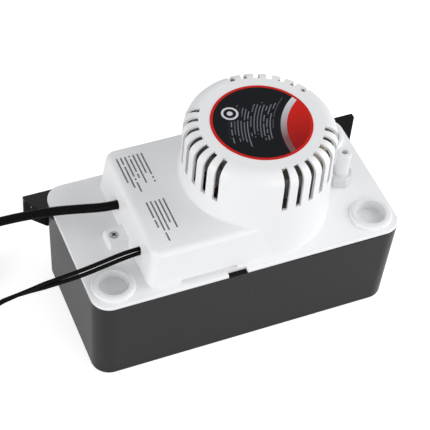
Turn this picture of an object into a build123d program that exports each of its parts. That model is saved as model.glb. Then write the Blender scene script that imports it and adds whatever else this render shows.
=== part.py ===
from build123d import *
import math
import os

# Condensate pump: a tank with wall ears, a lid that carries a vertical-shaft motor
# above and a centrifugal pump below, a vented housing over the motor and switches,
# and a float whose rod works two switches through a rocking lever with cams.
# Millimetres, +Z up. Origin: centre of the tank's underside. +X runs along the
# length towards the outlet, -Y is the front, +Y is the side with the wall ears.

# tank
tank_length = 280.0
tank_width = 141.6
tank_height = 91.7
tank_corner = 16.0
tank_lean = 2.0           # how far each side leans in at the bottom
tank_wall = 2.5
tank_floor = 3.0
tank_edge = 1.5

# wall ears at the rear corners
ear_reach = 18.0          # past the end of the tank
ear_run = 34.0            # along the end of the tank, from the rear face
ear_edge = 5.0            # short outer edge beside the rear face
ear_drop = 24.0           # straight outer edge of the upright plate
ear_height = 44.0         # where the plate meets the tank's end again
ear_thickness = 2.5
ear_hole = 5.5            # screw hole diameter
ear_hole_inset = 9.0      # from the outer edge to the hole
ear_hole_drop = 14.0      # from the rim to the hole
ear_overlap = 20.0        # plate length along the tank's rear wall

# lid
lid_thickness = 3.0
lid_edge = 1.0
skirt_depth = 6.0
skirt_wall = 2.0
skirt_gap = 0.5
notch_left = -24.0
notch_width = 17.3
notch_depth = 4.8
ledge_height = 4.0
fit_gap = 0.3             # between pieces that are put together by hand
press_gap = 0.02          # between a hub and its shaft
running_gap = 0.04        # radial, between a shaft and its bush
seat_gap = 0.2            # under a moving piece that rests on its stop

# inlets and their push-in plugs
inlet_inset_x = 22.0      # from the tank's end to an inlet's centre
inlet_inset_y = 21.8      # from the tank's side
inlet_bore = 29.2
collar_diameter = 36.4
collar_height = 3.0
collar_edge = 1.2
spout_wall = 1.8
spout_depth = 16.0        # below the lid's top face
plug_wall = 1.0
plug_rim = 32.8
plug_rim_height = 1.1
plug_depth = 5.7
plug_floor = 1.4
plug_draft = 0.6            # smaller radius at the cup's floor

# outlet with check valve
outlet_gap = 17.7         # from the dome's foot to the tube's centre
outlet_y = -3.0
outlet_bore = 16.0        # through the lid
outlet_sleeve_wall = 2.5
outlet_sleeve_depth = 8.0
nut_across = 20.5
nut_height = 11.0
nut_sides = 12
tube_foot = 13.0          # diameter of the part held in the nut
tube_diameter = 12.6
tube_top = 130.5
tube_lead = 1.0           # height of the tapered lip
tube_taper = 0.7          # smaller radius at the lip's top
tube_bore = 5.6
valve_chamber = 8.8
valve_seat_drop = 1.5     # from the lid's top face down to the seat
valve_headroom = 1.5      # above the lifted ball
nut_neck = 6.0            # below the seat
ball_diameter = 7.0
ball_lift = 3.0

# housing
dome_x = 27.0
housing_y = 0.5
dome_margin = 5.5         # from the tank's side to the dome's foot
dome_draft = 1.0          # smaller radius at the top
dome_top = 191.0
dome_shoulder = 12.0
housing_wall = 2.5
box_inset = 48.0          # from the tank's left end
box_margin = 6.0          # from the tank's side
box_top = 133.2
box_lean_end = 4.0
box_lean_side = 3.3
box_corner = 10.0
box_edge = 5.0
junction_radius = 2.5
vent_count = 7
vent_pitch = 11.2         # degrees
vent_width = 5.2
vent_bottom = 152.0
vent_inner_radius = 52.0
vent_groups = (180.0, -60.0, 60.0)
recess_left = -64.0
recess_length = 50.0
recess_height = 2.8
recess_depth = 1.4
rib_height = 3.5
rib_wall = 1.6
rib_gap = 0.9

# screw lug on the housing's left side
lug_reach = 16.0          # out from the housing
lug_y = -4.0
lug_width = 16.0
lug_height = 8.0
lug_lean = 1.5
lug_counterbore = 8.4
lug_counterbore_depth = 1.6
screw_reach = 9.5         # from the housing to the screw
screw_head = 6.8
screw_head_height = 2.0
screw_shank = 2.7
screw_length = 11.0
screw_hole = 4.4
boss_diameter = 8.0
boss_depth = 6.0

# labels
label_diameter = 85.4
label_thickness = 0.3
info_right = -55.0
info_front_margin = 12.3  # from the housing's side
info_rear_margin = 10.3
info_corner = 2.0

# motor
stack_bottom = 130.0
stack_left = -27.0        # from the shaft axis
stack_gap = 24.3          # from the wound leg to the dome's foot, room for the coil
stack_half_width = 36.0
window_left = 18.5
window_right = 30.5
window_half_width = 24.0
rotor_bore = 34.0
air_gap = 0.4
bobbin_wall = 1.5
coil_build = 9.0
shading_width = 3.0
shading_angles = (50.0, 80.0)
shading_radius = 20.5
bracket_thickness = 3.0
bracket_width = 20.0
bracket_leg = 8.0
bracket_drop = 12.0       # from the bracket's outer face to the stack
bearing_seat = 18.0
bearing_height = 7.0
bush_diameter = 10.0
shaft_diameter = 6.0
motor_screw_offset = 30.0
motor_screw = 4.0
motor_screw_head = 8.0
motor_screw_grip = 12.0   # below the lower bracket
post_diameter = 12.0
fan_hub = 16.0
fan_diameter = 84.0
fan_height = 12.0
fan_blades = 7
fan_blade_angle = 35.0
fan_blade_thickness = 1.6
fan_chord = 15.0          # width of a blade along its own slope
fan_boss = 1.2            # over the shaft's end
fan_gap = 4.0             # above the upper bracket
fan_headroom = 5.3        # under the dome's roof
slinger_diameter = 26.0
slinger_height = 3.0
slinger_lift = 6.0        # above the lid

# pump
column_diameter = 22.0
column_bore = 15.0
column_flange = 34.0
column_flange_height = 3.0
column_slots = 3
column_slot_width = 9.0
column_slot_height = 36.0
shaft_collar_wall = 2.0   # round the shaft on the lid
shaft_collar_rise = 2.5
volute_bottom = 12.5
volute_top = 30.0
volute_roof = 3.0
volute_wall = 2.5
volute_start = 20.0       # radius of the first quarter
volute_growth = 1.6       # added to the radius each quarter
nozzle_bore = 9.0
nozzle_wall = 2.0
nozzle_length = 34.0
volute_lug = 8.0          # diameter and height of a screw lug
volute_screw = 2.5
volute_screw_head = 5.0
volute_screw_head_height = 1.8
cover_thickness = 2.5
eye_diameter = 13.0
screen_diameter = 26.0
screen_slots = 10
screen_slot_width = 3.0
impeller_diameter = 33.0
impeller_bottom = 14.5
impeller_top = 24.5
impeller_disc = 2.0
impeller_vanes = 5
impeller_vane_thickness = 1.8
pipe_diameter = 12.0
pipe_bore = 9.0
pipe_bend = 15.0

# float and switches
float_length = 60.0
float_width = 84.0
float_height = 22.0
float_corner = 10.0
float_edge = 3.0
float_bottom = 12.0
rod_diameter = 5.0
rod_gap = 0.4
rod_foot = 1.5            # below the float
rod_headroom = 0.8        # under the housing's roof with the float at the top
guide_diameter = 11.0
guide_rise = 2.0          # above the lid
stop_gap = 0.6            # left between float and guide at the top of the travel
collar_radius = 4.5
collar_thickness = 2.0
collar_slack = 5.2        # between the two collars
pivot_inset = 18.3        # from the dome's foot
rod_inset = 0.5           # from the arm's length to the rod, half the fork's slide
lever_arm = 48.0
lever_swing = 26.0        # degrees, half below and half above level
lever_width = 13.0
lever_thickness = 2.0
lever_end = 7.0
hub_diameter = 10.0
hub_length = 25.6
pin_diameter = 3.0
pin_gap = 0.05
cam_radius = 7.0
cam_width = 4.0
plunger_travel = 1.2
plunger_diameter = 3.0
plunger_gap = 0.35
switch_offset = 10.0      # from the middle to each switch
switch_length = 20.0
switch_thickness = 6.4
switch_height = 10.4
switch_lift = 1.8         # from the plunger's tip at rest to the switch body
switch_hole = 2.4
switch_hole_spacing = 9.6
switch_hole_rise = 2.8
terminal_width = 3.2
terminal_height = 5.0
terminal_thickness = 0.6
terminal_spacing = 7.5
plate_thickness = 1.2
plate_width = 26.0
plate_drop = 2.0          # below the top of the switches
web_drop = 8.0            # below the pivot
foot_reach = 11.0         # out from the cheek
foot_width = 10.0
foot_screw = 6.0          # from the cheek to the screw
foot_screw_head = 5.6
foot_screw_length = 7.0

# cords
cord_diameter = 8.0
lead_diameter = 5.6       # round section of the same area as the flat twin lead
lead_slot_height = 8.4
cord_hole_gap = 0.4
grip_inset = 6.4          # from the housing's left foot
cord_straight = 13.4      # from the grip to the first bend
grip_length = 9.0
grip_width = 15.0
cord_y = 19.4
lead_y = -34.0
exit_z = 111.5
coil_x = -290.0
power_coil_y = 48.0
lead_coil_y = -61.0
power_coil_radius = 42.0  # to the middle of the bundle
lead_coil_radius = 40.0
power_coil_layers = 2
power_coil_ranks = 3
lead_coil_height = 14.4
lead_coil_width = 10.8
coil_round = 3.0
tail_angle = -40.0        # where the plug's end leaves the coil
tail_run = 36.0
plug_relief = 15.0
plug_body_length = 34.0
plug_body_width = 26.0
plug_body_height = 22.0
blade_length = 18.0
blade_width = 6.3
blade_thickness = 1.5
blade_spacing = 12.7
ground_diameter = 4.7

# worked out from the sizes above
lid_top = tank_height + lid_thickness
collar_top = lid_top + collar_height
inlet_x = tank_length / 2 - inlet_inset_x
inlet_y = tank_width / 2 - inlet_inset_y
dome_base_radius = tank_width / 2 - dome_margin
dome_top_radius = dome_base_radius - dome_draft
box_left = box_inset - tank_length / 2
stack_right = dome_base_radius - stack_gap
pivot_x = dome_x - dome_base_radius + pivot_inset
float_x = pivot_x - lever_arm + rod_inset
box_half_width = tank_width / 2 - box_margin
lug_left = box_left - lug_reach
screw_x = box_left - screw_reach
outlet_x = dome_x + dome_base_radius + outlet_gap
seat_z = lid_top - valve_seat_drop
nut_top = lid_top + nut_height
roof_z = dome_top - housing_wall
shaft_top = roof_z - fan_headroom - fan_boss
fan_bottom = shaft_top - fan_height + 1
upper_bracket_z = fan_bottom - fan_gap
lower_bracket_z = stack_bottom - bracket_drop
stack_top = upper_bracket_z - bracket_drop
rotor_radius = rotor_bore / 2 - air_gap
float_travel = 2 * lever_arm * math.sin(math.radians(lever_swing / 2))
float_top = float_bottom + float_height
guide_bottom = float_top + float_travel + stop_gap
guide_top = lid_top + guide_rise
lower_collar_z = guide_top + seat_gap
upper_collar_z = lower_collar_z + collar_thickness + collar_slack
rod_top = box_top - housing_wall - rod_headroom - float_travel
pivot_z = upper_collar_z - collar_slack / 2 + float_travel / 2
switch_z = pivot_z + cam_radius + plunger_gap + switch_lift
switch_hole_z = switch_z + switch_hole_rise
plate_y = switch_offset + switch_thickness / 2
cam_slope = plunger_travel / math.radians(lever_swing)
grip_face_x = box_left + grip_inset
coil_band = power_coil_ranks * cord_diameter
coil_rise = power_coil_layers * cord_diameter
tail_radius = power_coil_radius + (coil_band - cord_diameter) / 2
power_route = [
    (grip_face_x, cord_y, exit_z),
    (grip_face_x - cord_straight, cord_y, exit_z),
    (-121.0, 24.3, 112.2),
    (-146.0, 31.0, 111.0),
    (-186.0, 39.3, 105.2),
    (-221.0, 48.5, 91.0),
    (-251.0, 60.0, 69.0),
    (-274.0, 72.5, 44.0),
    (-291.0, 82.5, 27.0),
    (-306.0, 88.5, 17.0),
]
lead_route = [
    (grip_face_x, lead_y, exit_z),
    (grip_face_x - cord_straight, lead_y, exit_z),
    (-121.0, -38.2, 112.5),
    (-145.0, -41.9, 112.5),
    (-182.0, -45.0, 110.6),
    (-217.0, -49.0, 103.0),
    (-247.0, -57.0, 85.0),
    (-270.0, -69.0, 61.0),
    (-288.0, -81.5, 38.0),
    (-301.0, -92.5, 20.0),
    (-311.0, -97.0, 11.5),
]

def rod(diameter, low, high, x=0.0, y=0.0):
    """Upright cylinder between two heights."""
    return Pos(x, y, low) * extrude(Circle(diameter / 2), high - low)


def block(x0, x1, y0, y1, z0, z1):
    """Box given by its limits on each axis."""
    middle = Pos((x0 + x1) / 2, (y0 + y1) / 2, (z0 + z1) / 2)
    return middle * Box(x1 - x0, y1 - y0, z1 - z0)


def slab(length, width, corner, low, high, x=0.0, y=0.0):
    """Plate with rounded corners between two heights."""
    return Pos(x, y, low) * extrude(RectangleRounded(length, width, corner), high - low)


def leaning_box(low, high):
    """Loft between two rounded rectangles, each (x, y, z, length, width, corner)."""
    outlines = []
    for x, y, z, length, width, corner in (low, high):
        outlines.append(Pos(x, y, z) * RectangleRounded(length, width, corner))
    return loft(outlines, ruled=True)


def upright_edges_at(solid, x, y, reach):
    """Upright edges of a solid within reach of a point in plan."""
    found = []
    for edge in solid.edges().filter_by(Axis.Z):
        middle = edge.center()
        if math.hypot(middle.X - x, middle.Y - y) < reach:
            found.append(edge)
    return found


# ---------------------------------------------------------------- tank and lid

def tank_outline(z, inset, corner_inset):
    """Rounded rectangle of the tank at height z, moved in by inset."""
    lean = tank_lean * (1 - z / tank_height)
    length = tank_length - 2 * (lean + inset)
    width = tank_width - 2 * (lean + inset)
    return (0, 0, z, length, width, tank_corner - corner_inset)


def ear(side):
    """Wall ear: a flat shelf level with the rim and an upright plate with a hole."""
    root = tank_length / 2
    tip = root + ear_reach
    rear = tank_width / 2
    shelf = Polyline(
        (root - tank_corner, rear),
        (tip, rear),
        (tip, rear - ear_edge),
        (root - tank_wall / 2, rear - ear_run),
        (root - tank_wall / 2, rear - tank_corner),
        (root - tank_corner, rear - tank_wall / 2),
        close=True,
    )
    shelf = Pos(0, 0, tank_height - ear_thickness) * extrude(make_face(shelf), ear_thickness)
    plate = Polyline(
        (root - ear_overlap, tank_height),
        (tip, tank_height),
        (tip, tank_height - ear_drop),
        (root - tank_wall, tank_height - ear_height),
        (root - ear_overlap, tank_height - ear_height),
        close=True,
    )
    plate = Plane.XZ.offset(-rear) * extrude(make_face(plate), ear_thickness)
    both = shelf + plate
    hole = Pos(tip - ear_hole_inset, rear, tank_height - ear_hole_drop)
    both -= hole * Rot(90, 0, 0) * Cylinder(ear_hole / 2, 4 * ear_thickness)
    both = both if side > 0 else mirror(both, Plane.YZ)
    return both


def tank():
    shell = leaning_box(tank_outline(0, 0, 0), tank_outline(tank_height, 0, 0))
    shell = fillet(shell.faces().sort_by(Axis.Z)[0].edges(), tank_edge)
    for side in (-1, 1):
        shell += ear(side)
    cavity = leaning_box(
        tank_outline(tank_floor, tank_wall, tank_wall),
        tank_outline(tank_height + tank_floor, tank_wall, tank_wall),
    )
    shell -= cavity
    front = -tank_width / 2
    ledge_end = front + notch_depth + 0.8
    ledge = block(
        notch_left - 1, notch_left + notch_width + 1,
        front + tank_wall / 2, ledge_end,
        tank_height - ledge_height, tank_height,
    )
    return shell + ledge


def inlet_places():
    """The three inlets: two along the front, one at the rear right."""
    return [(-inlet_x, -inlet_y), (inlet_x, -inlet_y), (inlet_x, inlet_y)]


def housing_outline(inset, z):
    """Plan of the housing at height z, moved in by inset: a rounded box and a disc."""
    rise = (z - lid_top) / (box_top - lid_top)
    left = box_left + box_lean_end * rise + inset
    half = box_half_width - box_lean_side * rise - inset
    corner = max(box_corner - inset, 1.0)
    length = dome_x - left
    box = Pos((left + dome_x) / 2, housing_y, 0) * RectangleRounded(length, 2 * half, corner)
    disc = Pos(dome_x, housing_y, 0) * Circle(dome_base_radius - inset)
    return box + disc


def lid():
    plate = slab(tank_length, tank_width, tank_corner, tank_height, lid_top)
    plate = fillet(plate.faces().sort_by(Axis.Z)[-1].edges(), lid_edge)
    skirt_length = tank_length - 2 * (tank_wall + skirt_gap)
    skirt_width = tank_width - 2 * (tank_wall + skirt_gap)
    skirt_corner = tank_corner - tank_wall - skirt_gap
    skirt = slab(skirt_length, skirt_width, skirt_corner, tank_height - skirt_depth, tank_height)
    skirt -= slab(
        skirt_length - 2 * skirt_wall, skirt_width - 2 * skirt_wall, skirt_corner - skirt_wall,
        tank_height - skirt_depth, tank_height,
    )
    solid = plate + skirt

    # notch over the tank's ledge, with the skirt broken either side of it
    front = -tank_width / 2
    solid -= block(
        notch_left, notch_left + notch_width,
        front - 1, front + notch_depth, tank_height - 1, lid_top + 1,
    )
    solid -= block(
        notch_left - skirt_wall, notch_left + notch_width + skirt_wall,
        front, front + notch_depth + skirt_wall, tank_height - skirt_depth - 1, tank_height,
    )

    # inlet collars and spouts
    for x, y in inlet_places():
        collar = rod(collar_diameter, lid_top, collar_top, x, y)
        collar = fillet(collar.faces().sort_by(Axis.Z)[-1].edges(), collar_edge)
        spout = rod(inlet_bore + 2 * spout_wall, lid_top - spout_depth, lid_top, x, y)
        solid += collar + spout
    for x, y in inlet_places():
        solid -= rod(inlet_bore, lid_top - spout_depth - 1, collar_top + 1, x, y)

    # outlet sleeve
    sleeve = outlet_bore + 2 * outlet_sleeve_wall
    solid += rod(sleeve, tank_height - outlet_sleeve_depth, lid_top, outlet_x, outlet_y)
    solid -= rod(outlet_bore, 0, lid_top + 1, outlet_x, outlet_y)

    # collar round the shaft and posts for the motor
    shaft_collar = column_bore + 2 * shaft_collar_wall
    shaft_collar_top = lid_top + shaft_collar_rise
    solid += rod(shaft_collar, tank_height, shaft_collar_top, dome_x, housing_y)
    solid -= rod(column_bore, tank_height - 1, shaft_collar_top + 1, dome_x, housing_y)
    screw_bottom = lower_bracket_z - motor_screw_grip
    for side in (-1, 1):
        post_y = housing_y + side * motor_screw_offset
        solid += rod(post_diameter, lid_top, lower_bracket_z, dome_x, post_y)
        solid -= rod(motor_screw + 0.1, screw_bottom - 2, lower_bracket_z + 1, dome_x, post_y)

    # guide for the float rod
    solid += rod(guide_diameter, guide_bottom, guide_top, float_x, housing_y)
    guide_bore = rod_diameter + 2 * rod_gap
    solid -= rod(guide_bore, guide_bottom - 1, guide_top + 1, float_x, housing_y)

    # screw bosses under the lid
    bosses = [(screw_x, lug_y)] + bracket_screw_places()
    for x, y in bosses:
        solid += rod(boss_diameter, tank_height - boss_depth, tank_height, x, y)
        solid -= rod(screw_shank + 0.1, tank_height - boss_depth + 1, lid_top + 1, x, y)

    # low rib that locates the housing
    rib = housing_outline(housing_wall + rib_gap, lid_top)
    rib -= housing_outline(housing_wall + rib_gap + rib_wall, lid_top)
    solid += Pos(0, 0, lid_top) * extrude(rib, rib_height)
    return solid


def inlet_plug(x, y):
    """Push-in cup with a thin rim that lies on the collar."""
    outer = inlet_bore / 2 - fit_gap
    cup = rod(2 * outer, lid_top - plug_depth - plug_floor, collar_top, x, y)
    rim = rod(plug_rim, collar_top, collar_top + plug_rim_height, x, y)
    rim = fillet(rim.faces().sort_by(Axis.Z)[-1].edges(), plug_rim_height / 2)
    solid = cup + rim
    low = 2 * (outer - plug_wall - plug_draft)
    high = 2 * (outer - plug_wall)
    mouth = collar_top + plug_rim_height
    hollow = loft([
        Pos(x, y, lid_top - plug_depth) * Circle(low / 2),
        Pos(x, y, mouth) * Circle(high / 2),
    ])
    return solid - hollow


# ---------------------------------------------------------------- housing

def dome(inset, low):
    """Solid dome moved in by inset, from the height low up."""
    base = dome_base_radius - inset
    side = dome_top_radius - inset
    top = dome_top - inset
    shoulder = dome_shoulder - inset
    diagonal = shoulder * math.sqrt(0.5)
    knee = (side - shoulder + diagonal, 0, top - shoulder + diagonal)
    outline = [
        Line((0, 0, low), (base, 0, low)),
        Line((base, 0, low), (side, 0, top - shoulder)),
        ThreePointArc((side, 0, top - shoulder), knee, (side - shoulder, 0, top)),
        Line((side - shoulder, 0, top), (0, 0, top)),
        Line((0, 0, top), (0, 0, low)),
    ]
    return Pos(dome_x, housing_y, 0) * revolve(make_face(outline), Axis.Z)


def switch_box(inset, low):
    """Solid low box of the housing moved in by inset, from the height low up."""
    lean = (low - lid_top) / (box_top - lid_top)
    left = box_left + box_lean_end * lean + inset
    half = box_half_width - box_lean_side * lean - inset
    top_left = box_left + box_lean_end + inset
    top_half = box_half_width - box_lean_side - inset
    corner = box_corner - inset
    solid = leaning_box(
        ((left + dome_x) / 2, housing_y, low, dome_x - left, 2 * half, corner),
        ((top_left + dome_x) / 2, housing_y, box_top - inset, dome_x - top_left, 2 * top_half, corner),
    )
    return fillet(solid.faces().sort_by(Axis.Z)[-1].edges(), box_edge - inset)


def vent_cutters():
    """Radial slots in three groups, cut through the wall and over the shoulder."""
    reach = dome_base_radius + 2
    slot = block(
        vent_inner_radius, reach, -vent_width / 2, vent_width / 2, vent_bottom, dome_top + 2,
    )
    cutters = []
    for group in vent_groups:
        for number in range(vent_count):
            angle = group + (number - (vent_count - 1) / 2) * vent_pitch
            cutters.append(Pos(dome_x, housing_y, 0) * Rot(0, 0, angle) * slot)
    return cutters


def motor_housing():
    body = switch_box(0, lid_top)
    outer = body + dome(0, lid_top)
    junction = []
    for edge in outer.edges().filter_by(GeomType.CIRCLE):
        level = abs(edge.center().Z - box_top) < 0.1
        if level and abs(edge.radius - dome_base_radius) < 2:
            junction.append(edge)
    outer = fillet(junction, junction_radius)

    lug_right = box_left + box_corner
    lug_top = lid_top + lug_height
    lug = leaning_box(
        ((lug_left - 1 + lug_right) / 2, lug_y, lid_top,
         lug_right - lug_left + 1, lug_width + 2 * lug_lean, 2.5),
        ((lug_left + lug_right) / 2, lug_y, lug_top, lug_right - lug_left, lug_width, 2.0),
    )
    lug = fillet(lug.faces().sort_by(Axis.Z)[-1].edges(), 0.8)
    outer += lug

    shell = outer - switch_box(housing_wall, lid_top - 0.01) - dome(housing_wall, lid_top - 1)
    shell -= rod(screw_hole, lid_top - 1, lug_top + 1, screw_x, lug_y)
    shell -= rod(lug_counterbore, lug_top - lug_counterbore_depth, lug_top + 1, screw_x, lug_y)
    shell -= vent_cutters()

    # prying recess along the foot of the front wall
    front = housing_y - box_half_width
    shell -= block(
        recess_left, recess_left + recess_length,
        front - 1, front + recess_depth, lid_top - 1, lid_top + recess_height,
    )

    # cord openings in the left wall
    wall_middle = (box_left + grip_face_x) / 2
    wall_reach = 2 * (grip_face_x - box_left)
    round_hole = Rot(0, 90, 0) * Cylinder(cord_diameter / 2 + cord_hole_gap, wall_reach)
    shell -= Pos(wall_middle, cord_y, exit_z) * round_hole
    slot_width = lead_diameter + 2 * cord_hole_gap
    slot = SlotOverall(lead_slot_height, slot_width, rotation=90)
    slot = Plane.YZ * slot
    shell -= Pos(wall_middle - wall_reach / 2, lead_y, exit_z) * extrude(slot, wall_reach)
    return shell


def round_label():
    return rod(label_diameter, dome_top, dome_top + label_thickness, dome_x, housing_y)


def info_label():
    """Film on the flat of the low box, between the rounded edge and the dome."""
    left = box_left + box_lean_end + box_edge
    front = housing_y - box_half_width + info_front_margin
    rear = housing_y + box_half_width - info_rear_margin
    return slab(
        info_right - left, rear - front, info_corner, box_top, box_top + label_thickness / 2,
        (left + info_right) / 2, (front + rear) / 2,
    )


def housing_screw():
    seat = lid_top + lug_height - lug_counterbore_depth
    head = rod(screw_head, seat, seat + screw_head_height, screw_x, lug_y)
    head = fillet(head.faces().sort_by(Axis.Z)[-1].edges(), 0.8)
    return head + rod(screw_shank, seat - screw_length, seat, screw_x, lug_y)


# ---------------------------------------------------------------- outlet

def outlet_nut():
    """Collar nut that holds the check valve in the lid, with flats all round."""
    prism = Pos(outlet_x, outlet_y, lid_top) * extrude(
        RegularPolygon(nut_across / 2, nut_sides), nut_height
    )
    prism = chamfer(prism.faces().sort_by(Axis.Z)[-1].edges(), 0.8)
    neck = rod(outlet_bore - 2 * fit_gap, seat_z - nut_neck, lid_top, outlet_x, outlet_y)
    solid = prism + neck
    solid -= rod(tube_foot + 2 * press_gap, seat_z, nut_top + 1, outlet_x, outlet_y)
    solid -= rod(tube_bore, seat_z - nut_neck - 1, seat_z + 1, outlet_x, outlet_y)
    return solid


def outlet_tube():
    """Hose tube: a thicker foot in the nut, with the ball's chamber, and a tapered lip."""
    lip = tube_top - tube_lead
    solid = rod(tube_foot, seat_z, nut_top, outlet_x, outlet_y)
    solid += rod(tube_diameter, nut_top, lip, outlet_x, outlet_y)
    solid += loft([
        Pos(outlet_x, outlet_y, lip) * Circle(tube_diameter / 2),
        Pos(outlet_x, outlet_y, tube_top) * Circle(tube_diameter / 2 - tube_taper),
    ])
    chamber_top = seat_z + ball_diameter + ball_lift + valve_headroom
    solid -= rod(valve_chamber, seat_z - 1, chamber_top, outlet_x, outlet_y)
    solid -= rod(tube_bore, chamber_top - 1, tube_top + 1, outlet_x, outlet_y)
    return solid


def check_ball():
    """Ball that rests just over the rim of the seat's bore."""
    ball = ball_diameter / 2
    seat = tube_bore / 2
    centre = seat_z + math.sqrt(ball**2 - seat**2) + 0.1
    return Pos(outlet_x, outlet_y, centre) * Sphere(ball)


# ---------------------------------------------------------------- motor

def at_shaft(solid):
    """Move a solid made about the origin in plan to the shaft's axis."""
    return Pos(dome_x, housing_y, 0) * solid


def shading_ring(turn):
    """Copper loop through two slots beside the rotor, over both ends of the stack."""
    bars = None
    legs = []
    for angle in shading_angles:
        leg = Rot(0, 0, angle + turn) * block(
            shading_radius - shading_width / 2, shading_radius + shading_width / 2,
            -shading_width / 2, shading_width / 2,
            stack_bottom - shading_width, stack_top + shading_width,
        )
        legs.append(leg)
    middle = (shading_angles[0] + shading_angles[1]) / 2 + turn
    half_turn = math.radians(shading_angles[1] - shading_angles[0]) / 2
    chord = shading_radius * math.sin(half_turn) * 2
    reach = shading_radius * math.cos(half_turn)
    for low in (stack_bottom - shading_width, stack_top):
        bar = Rot(0, 0, middle) * block(
            reach - shading_width / 2, reach + shading_width / 2,
            -chord / 2, chord / 2, low, low + shading_width,
        )
        bars = bar if bars is None else bars + bar
    return bars + legs[0] + legs[1]


def stator_core():
    plan = Pos((stack_left + stack_right) / 2, 0) * RectangleRounded(
        stack_right - stack_left, 2 * stack_half_width, 3
    )
    plan -= Circle(rotor_bore / 2)
    window = Pos((window_left + window_right) / 2, 0)
    plan -= window * Rectangle(window_right - window_left, 2 * window_half_width)
    core = Pos(0, 0, stack_bottom) * extrude(plan, stack_top - stack_bottom)
    for side in (-1, 1):
        core -= rod(motor_screw + 0.6, stack_bottom - 1, stack_top + 1,
                    0, side * motor_screw_offset)
    slot = shading_width + 0.4
    for turn in (0, 180):
        for angle in shading_angles:
            core -= Rot(0, 0, angle + turn) * block(
                shading_radius - slot / 2, shading_radius + slot / 2,
                -slot / 2, slot / 2, stack_bottom - 1, stack_top + 1,
            )
    return at_shaft(core)


def leg_limits(grow):
    """Limits of the wound leg of the stack in plan and height, grown on each side."""
    x0 = window_right - grow
    x1 = stack_right + grow
    return x0, x1, stack_bottom - grow, stack_top + grow


def bobbin_sleeve(grow_in, grow_out, half_width):
    """Square tube round the wound leg, between two offsets from its faces."""
    x0, x1, z0, z1 = leg_limits(grow_out)
    outer = block(x0, x1, -half_width, half_width, z0, z1)
    x0, x1, z0, z1 = leg_limits(grow_in)
    return outer - block(x0, x1, -half_width - 1, half_width + 1, z0, z1)


def coil_bobbin():
    half = window_half_width - 1
    sleeve = bobbin_sleeve(fit_gap, bobbin_wall, half)
    flange = bobbin_sleeve(fit_gap, bobbin_wall + coil_build + 0.5, half)
    inside = half - bobbin_wall
    flange -= block(0, 2 * stack_right, -inside, inside, 0, dome_top)
    return at_shaft(sleeve + flange)


def coil_winding():
    half = window_half_width - 1 - bobbin_wall - 0.1
    x0, x1, z0, z1 = leg_limits(bobbin_wall + coil_build)
    outer = block(x0, x1, -half, half, z0, z1)
    outer = fillet(outer.edges().filter_by(Axis.Y), 4.0)
    x0, x1, z0, z1 = leg_limits(bobbin_wall + 0.05)
    return at_shaft(outer - block(x0, x1, -half - 1, half + 1, z0, z1))


def shading_rings():
    return at_shaft(Compound([shading_ring(0), shading_ring(180)]))


def bracket(bar_z, stack_z):
    """Bridge across the stack: a bar, two legs and a seat for the bearing bush."""
    up = bar_z > stack_z
    bar_low = bar_z - bracket_thickness if up else bar_z
    half = motor_screw_offset + bracket_leg / 2
    bar = slab(bracket_width, 2 * half, 3, bar_low, bar_low + bracket_thickness)
    low = min(stack_z, bar_low)
    high = max(stack_z, bar_low + bracket_thickness)
    for side in (-1, 1):
        middle = side * motor_screw_offset
        bar += block(-bracket_leg / 2, bracket_leg / 2,
                     middle - bracket_leg / 2, middle + bracket_leg / 2, low, high)
    seat_low = bar_z - bearing_height if up else bar_z
    bar += rod(bearing_seat, seat_low, seat_low + bearing_height)
    bar -= rod(bush_diameter + 2 * press_gap, seat_low - 1, seat_low + bearing_height + 1)
    for side in (-1, 1):
        bar -= rod(motor_screw + 0.6, low - 1, high + 1, 0, side * motor_screw_offset)
    return at_shaft(bar)


def bearing_bushes():
    bushes = []
    for low in (lower_bracket_z, upper_bracket_z - bearing_height):
        ring = rod(bush_diameter, low, low + bearing_height)
        ring -= rod(shaft_diameter + 2 * running_gap, low - 1, low + bearing_height + 1)
        bushes.append(ring)
    return at_shaft(Compound(bushes))


def motor_screws():
    """Two long screws through the brackets and the stack into the lid's posts."""
    screws = []
    for side in (-1, 1):
        y = side * motor_screw_offset
        screw = rod(motor_screw, lower_bracket_z - motor_screw_grip, upper_bracket_z, 0, y)
        head = rod(motor_screw_head, upper_bracket_z, upper_bracket_z + 3, 0, y)
        screws.append(screw + fillet(head.faces().sort_by(Axis.Z)[-1].edges(), 0.8))
    return at_shaft(Compound(screws))


def rotor_core():
    overhang = 4.0
    core = rod(2 * rotor_radius, stack_bottom, stack_top)
    for low in (stack_bottom - overhang, stack_top):
        core += rod(2 * rotor_radius - 3, low, low + overhang)
    core -= rod(shaft_diameter + 2 * press_gap, 0, shaft_top)
    return at_shaft(core)


def shaft():
    bottom = impeller_bottom + 1
    solid = rod(shaft_diameter, bottom, shaft_top)
    solid = chamfer(solid.edges().filter_by(GeomType.CIRCLE), 0.4)
    return at_shaft(solid)


def cooling_fan():
    """Hub with pitched blades, pressed on the shaft's upper end."""
    high = shaft_top + fan_boss
    hub = rod(fan_hub, fan_bottom, high)
    root = fan_hub / 2 - fan_blade_thickness
    span = fan_diameter / 2 - root
    blade = Pos(root + span / 2, 0, (fan_bottom + high) / 2) * Rot(fan_blade_angle, 0, 0)
    blade = blade * Box(span, fan_chord, fan_blade_thickness)
    for number in range(fan_blades):
        hub += Rot(0, 0, number * 360 / fan_blades) * blade
    hub -= rod(shaft_diameter + 2 * press_gap, fan_bottom - 1, shaft_top)
    return at_shaft(hub)


def slinger():
    """Soft disc on the shaft that throws water clear of the motor."""
    low = lid_top + slinger_lift
    disc = rod(slinger_diameter, low, low + slinger_height / 2)
    disc += rod(shaft_diameter + 6, low, low + 2 * slinger_height)
    disc -= rod(shaft_diameter + 2 * press_gap, low - 1, low + 3 * slinger_height)
    return at_shaft(disc)


# ---------------------------------------------------------------- pump

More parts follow.
